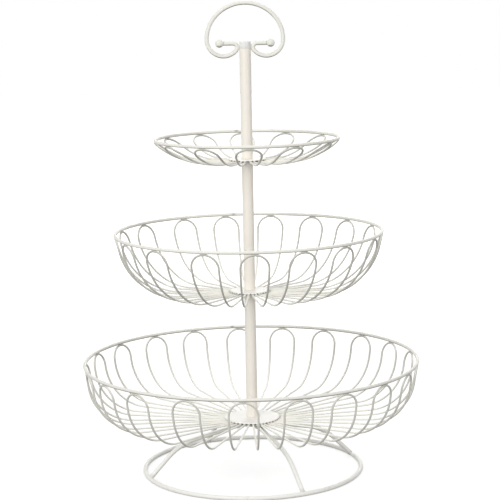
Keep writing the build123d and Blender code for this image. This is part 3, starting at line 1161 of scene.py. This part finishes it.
    def build(self, shop: Workshop) -> None:
        """Makes the base's pieces.

        Args:
            shop: Where they are made.
        """
        ring = hoop(self.ring_radius, self.rod, self.rod, sides=18, steps=288, joint=self.ring_joint,
                    weld_reach=self.ring_weld_reach)
        shop.make("ring_on_table", ring, ON_RING, Rides.STAND, "base_ring")
        leg = self.leg()
        for name, azimuth in self.leg_azimuths:
            turned = leg.turned_by(math.radians(azimuth))
            shop.make(f"leg_{name}", turned, ON_LEG, Rides.STAND, f"base_leg_{name}")
        plate = self.washer(self.plate_radius - self.plate_margin, self.plate_top - self.plate_thickness,
                            self.plate_thickness, self.plate_edge)
        shop.make("hub_plate", plate, ON_TUBE, Rides.STAND, "base_plate")
        spacer = self.washer(self.spacer_radius - self.spacer_margin, self.plate_top,
                             self.spacer_thickness, self.spacer_edge)
        shop.make("hub_spacer", spacer, ZINC, Rides.STAND, "base_spacer")
        shop.make("hub_bolt", self.bolt(), ZINC, Rides.STAND, "base_bolt")


@dataclass
class Pole:
    """The three tube sections, with slightly rolled ends, and the fasteners inside them."""

    radius: float = 5.5 * MM
    wall: float = 1.0 * MM
    rolled: float = 0.35 * MM
    sections: tuple[tuple[str, float, float], ...] = (
        ("lower", 53.2 * MM, 179.2 * MM),
        ("middle", 180.7 * MM, 308.3 * MM),
        ("upper", 309.8 * MM, 415.6 * MM))
    hidden: tuple[str, ...] = (
        "lower_pole_foot_insert", "lower_pole_stud", "middle_pole_foot_insert", "middle_pole_stud",
        "upper_pole_foot_insert", "upper_pole_top_insert")

    def build(self, shop: Workshop) -> None:
        """Makes the tubes and dresses the fasteners inside.

        Args:
            shop: Where they are made.
        """
        for name, bottom, top in self.sections:
            tube = bored(self.radius - self.wall, self.radius, bottom, top, self.rolled, spacing=4.0 * MM,
                         sides=64)
            shop.make(f"{name}_tube", tube, ON_TUBE, Rides.STAND, f"{name}_pole")
        for node in self.hidden:
            shop.dress(node, ZINC)


@dataclass(frozen=True)
class ScrollArcs:
    """The arcs of the handle's right side: their centres, a radius, and the curl's last angle."""

    crown_z: float
    shoulder: float
    widest: float
    curl_x: float
    bend_x: float
    bend_z: float
    curl_end: float


@dataclass
class ScrollHandle:
    """The scroll handle: one rod with an arch and two curls, a ball on each end, and the collar.

    The ball's angles run from its outer pole to where its flare starts, in radians. Its weld tint comes
    in between two shares of its profile, and the rod stops short of its middle by a share of its radius.
    """

    foot: float = 415.6 * MM
    rod: float = 2.0 * MM
    rod_weld_reach: float = 3.0 * MM
    step: float = 1.0 * MM
    tight_step: float = 0.6 * MM
    half_width: float = 36.6 * MM
    rise: float = 43.4 * MM
    crown_radius: float = 38.0 * MM
    curl_radius: float = 16.0 * MM
    bend_radius: float = 4.0 * MM
    pole_radius: float = 5.5 * MM
    ball_reach: float = 24.6 * MM
    ball_radius: float = 3.9 * MM
    ball_angles: Limits = (0.04, math.pi - 0.62)
    ball_weld: Limits = (0.75, 0.95)
    rod_end: float = 0.6
    flare: float = 1.2 * MM
    flare_lap: float = 0.02 * MM
    collar_height: float = 6.8 * MM
    collar_flat: float = 2.0 * MM
    collar_edge: float = 0.7 * MM
    collar_chamfer: float = 0.25 * MM
    collar_bare_rise: float = 2.0 * MM
    collar_bare_share: float = 0.6
    collar_weld: Sizes = (3.0 * MM, 1.5 * MM, 0.7 * MM)
    collar_weld_out: float = 0.1 * MM
    collar_weld_up: float = 0.3 * MM
    stud_radius: float = 2.95 * MM
    stud_reach: float = 10.0 * MM

    def arcs(self) -> ScrollArcs:
        """Centres and radii of the handle's arcs on its right side.

        The crown turns 45 degrees each way. The shoulder is tangent to it and to the widest point's
        vertical, the curl is tangent there too, and it ends where it is tangent to the tight bend.

        Returns:
            The arcs.
        """
        crown_z = self.foot + self.rise - self.crown_radius
        shoulder = (self.half_width - self.crown_radius * DIAGONAL) / (1.0 - DIAGONAL)
        widest = crown_z + (self.crown_radius - shoulder) * DIAGONAL
        curl_x = self.half_width - self.curl_radius
        bend_x = self.pole_radius + self.rod + self.bend_radius
        link = self.curl_radius - self.bend_radius
        curl_end = math.degrees(math.acos((curl_x - bend_x) / link)) - 180.0
        bend_z = widest + link * math.sin(math.radians(curl_end))
        return ScrollArcs(crown_z, shoulder, widest, curl_x, bend_x, bend_z, curl_end)

    def scroll(self) -> Surface:
        """The rod: arcs joined with the same direction, from ball to ball.

        Returns:
            The rod's surface.
        """
        a = self.arcs()
        arm = a.bend_z + self.bend_radius
        right = chain([
            np.linspace((self.ball_reach - self.rod_end * self.ball_radius, arm), (a.bend_x, arm), 10),
            arc((a.bend_x, a.bend_z), self.bend_radius, 90.0, 360.0 + a.curl_end, self.tight_step),
            arc((a.curl_x, a.widest), self.curl_radius, a.curl_end, 0.0, self.step),
            arc((self.half_width - a.shoulder, a.widest), a.shoulder, 0.0, 45.0, self.step),
            arc((0.0, a.crown_z), self.crown_radius, 45.0, 90.0, self.step)])
        left = right[::-1][1:] * np.array([-1.0, 1.0])
        return wire(upright(np.concatenate([right, left])), Y_AXIS, self.rod, sides=18, welds=(0.0, 1.0),
                    weld_reach=self.rod_weld_reach)

    def ball(self, side: float) -> Surface:
        """A forged ball: a circle turned about the rod, flared into the rod on its inner side.

        It is turned about the upright axis first. Its coordinates then change places, so that its axis
        lies along X.

        Args:
            side: 1 for the right ball and -1 for the left one.

        Returns:
            The ball's surface.
        """
        a = self.arcs()
        u = np.linspace(*self.ball_angles, 26)
        reach, radii = self.ball_radius * np.cos(u), self.ball_radius * np.sin(u)
        neck = np.linspace(0.0, 1.0, 7)[1:]
        reach = np.concatenate([reach, reach[-1] - neck * self.flare])
        radii = np.concatenate([radii, radii[-1] + (self.rod + self.flare_lap - radii[-1]) * neck])
        weld = smooth_step(np.arange(len(radii)) / len(radii), *self.ball_weld)
        ball = lathe(radii, side * (self.ball_reach + reach), 40, weld=weld)
        return replace(ball, points=ball.points[:, [2, 0, 1]] + Z_AXIS * (a.bend_z + self.bend_radius))

    def collar(self) -> Surface:
        """The collar: a short plug with rolled edges as wide as the pole, and its stud below.

        Returns:
            The collar's surface.
        """
        top, stud_end = self.foot + self.collar_height, self.foot - self.stud_reach
        roll, edge = np.linspace(0.0, QUARTER, 6), self.collar_edge
        corner = np.stack([self.pole_radius - edge + edge * np.sin(roll), top - edge + edge * np.cos(roll)],
                          axis=-1)
        radii, heights = np.concatenate([
            [(TIP, top), (self.collar_flat, top)], corner,
            [(self.pole_radius, self.foot + self.collar_chamfer),
             (self.pole_radius - self.collar_chamfer, self.foot),
             (self.stud_radius, self.foot), (self.stud_radius, stud_end), (TIP, stud_end)]]).T
        weld = smooth_step(heights, self.foot, self.foot + self.collar_bare_rise) * self.collar_bare_share
        return lathe(radii, heights, 64, weld=weld)

    def collar_welds(self) -> Surface:
        """Two upright beads that fill the gap between the collar and each tight bend.

        Returns:
            The beads.
        """
        x, z = self.pole_radius + self.collar_weld_out, self.arcs().bend_z + self.collar_weld_up
        return joined([bead(np.array([side * x, 0.0, z]), Z_AXIS, Y_AXIS, self.collar_weld, rows=11, sides=16)
                       for side in (-1.0, 1.0)])

    def build(self, shop: Workshop) -> None:
        """Makes the handle's pieces.

        Args:
            shop: Where they are made.
        """
        shop.make("scroll_rod", self.scroll(), ON_HANDLE, Rides.STAND, "handle_scroll")
        shop.make("ball_right", self.ball(1.0), ON_HANDLE, Rides.STAND, "handle_ball_right")
        shop.make("ball_left", self.ball(-1.0), ON_HANDLE, Rides.STAND, "handle_ball_left")
        collar = joined([self.collar(), self.collar_welds()])
        shop.make("handle_plug", collar, ON_COLLAR, Rides.STAND, "handle_collar")


# Studio

@dataclass(frozen=True)
class SoftLamp:
    """A square soft lamp: where it hangs, the side of its square in metres, and its power in watts."""

    name: str
    place: Point
    size: float
    power: float

    def hang(self, target: np.ndarray) -> None:
        """Hangs the lamp.

        Args:
            target: The point that it looks at.
        """
        light = bpy.data.lights.new(self.name, "AREA")
        light.shape, light.size, light.energy = "SQUARE", self.size, self.power
        lamp = bpy.data.objects.new(self.name, light)
        bpy.context.scene.collection.objects.link(lamp)
        back = unit(np.array(self.place) - target)
        right = unit(np.cross(Z_AXIS, back))
        turn = Matrix(np.stack([right, np.cross(back, right), back], axis=-1).tolist())
        lamp.matrix_world = Matrix.Translation(self.place) @ turn.to_4x4()


@dataclass
class Studio:
    """The floor, the lamps, the white surroundings and the camera.

    Pitch and roll are in degrees, and the lens and the sensor are in millimetres.
    """

    camera_place: Point = (1.0 * MM, -1598.0 * MM, 472.0 * MM)
    pitch: float = 8.96
    roll: float = 1.1
    lens: float = 119.3
    sensor: float = 36.0
    sight: Limits = (0.05, 60.0)
    ambient: float = 0.38
    paper_half: float = 6.0
    aim_height: float = 0.22
    lamps: tuple[SoftLamp, ...] = (
        SoftLamp("key_left", (-1.2, -1.9, 1.0), size=1.5, power=34.0),
        SoftLamp("fill_right", (1.6, -1.2, 0.8), size=1.2, power=9.0),
        SoftLamp("top", (0.0, 0.4, 2.0), size=1.6, power=11.5),
        SoftLamp("back", (0.5, 2.1, 0.9), size=1.5, power=12.0))

    def floor(self) -> None:
        """A square of white paper that the stand rests on."""
        half = self.paper_half
        mesh = bpy.data.meshes.new("floor")
        mesh.from_pydata([(-half, -half, 0.0), (half, -half, 0.0), (half, half, 0.0), (-half, half, 0.0)],
                         [], [(0, 1, 2, 3)])
        mesh.materials.append(StudioPaper("white_paper").material())
        sheet = bpy.data.objects.new("floor", mesh)
        bpy.context.scene.collection.objects.link(sheet)

    def surroundings(self) -> None:
        """White to the camera and in reflections, and a plain level of light for everything else."""
        world = bpy.data.worlds.new("surroundings")
        bpy.context.scene.world = world
        g = Graph(world)
        level = g.out("ShaderNodeMapRange", "Result", {},
                      {"Value": g.seen(), "To Min": self.ambient, "To Max": 1.0})
        g.finish("ShaderNodeBackground", {"Color": (1.0, 1.0, 1.0, 1.0), "Strength": level},
                 "ShaderNodeOutputWorld")

    def camera(self) -> None:
        """The photograph's viewpoint: level, turned down by the pitch, then rolled about its own axis."""
        data = bpy.data.cameras.new("camera")
        data.lens, data.sensor_width = self.lens, self.sensor
        data.clip_start, data.clip_end = self.sight
        camera = bpy.data.objects.new("camera", data)
        bpy.context.scene.collection.objects.link(camera)
        tilt = Matrix.Rotation(math.radians(90.0 - self.pitch), 4, "X")
        twist = Matrix.Rotation(math.radians(-self.roll), 4, "Z")
        camera.matrix_world = Matrix.Translation(self.camera_place) @ tilt @ twist
        bpy.context.scene.camera = camera

    def build(self) -> None:
        """Sets everything up."""
        self.floor()
        for lamp in self.lamps:
            lamp.hang(Z_AXIS * self.aim_height)
        self.surroundings()
        self.camera()
        bpy.context.scene.view_settings.view_transform = "Standard"


BOWLS = (
    WireBowl("bottom", Rides.BOTTOM, ON_LOW_WIRE, ON_LOW_ROD, rim_radius=163.4 * MM, rim_height=110.5 * MM,
             wire_height=50.7 * MM, hub_radius=27.0 * MM, wire_end=22.0 * MM, floor_slope=2.0,
             corner_radius=44.0 * MM, wall_angle=81.0, first_azimuth=-93.5, inner_side_light=0.0,
             offsets=(0.8, 1.5, 0.6, 0.6, 0.5, 1.0, 1.8, 1.2, 0.4, 0.3, -0.1, -0.6, -0.3, -0.8, -0.3, -1.0,
                      -1.5, -2.0, -2.4, -2.8, -1.0)),
    WireBowl("middle", Rides.MIDDLE, ON_HIGH_WIRE, ON_ROD, rim_radius=129.8 * MM, rim_height=238.0 * MM,
             wire_height=178.2 * MM, hub_radius=19.0 * MM, wire_end=16.4 * MM, floor_slope=0.0,
             corner_radius=60.0 * MM, wall_angle=77.0, first_azimuth=-88.9,
             offsets=(1.2, 0.5, -0.2, 1.8, 1.6, 1.2, 0.6, -0.2, -0.9, -1.0, -1.6, 1.3, 0.6, -0.2, -1.0, -0.9,
                      1.6)),
    WireBowl("top", Rides.TOP, ON_HIGH_WIRE, ON_ROD, rim_radius=88.6 * MM, rim_height=329.0 * MM,
             wire_height=307.3 * MM, hub_radius=18.0 * MM, wire_end=13.0 * MM, floor_slope=0.0,
             corner_radius=75.0 * MM, wall_angle=41.0, first_azimuth=-87.9,
             offsets=(-0.9, -1.4, -0.9, -0.4, 0.0, 1.1, 1.5, 0.0, 1.1, 0.8, 0.4, 0.1)),
)


def main() -> None:
    """Builds the sub-assemblies in order from the table up, and the studio."""
    logging.basicConfig(level=logging.INFO, format="%(message)s")
    shop = Workshop()
    for assembly in (RingBase(), Pole(), *BOWLS, ScrollHandle()):
        assembly.build(shop)
    Studio().build()


if __name__ == "__main__":
    main()
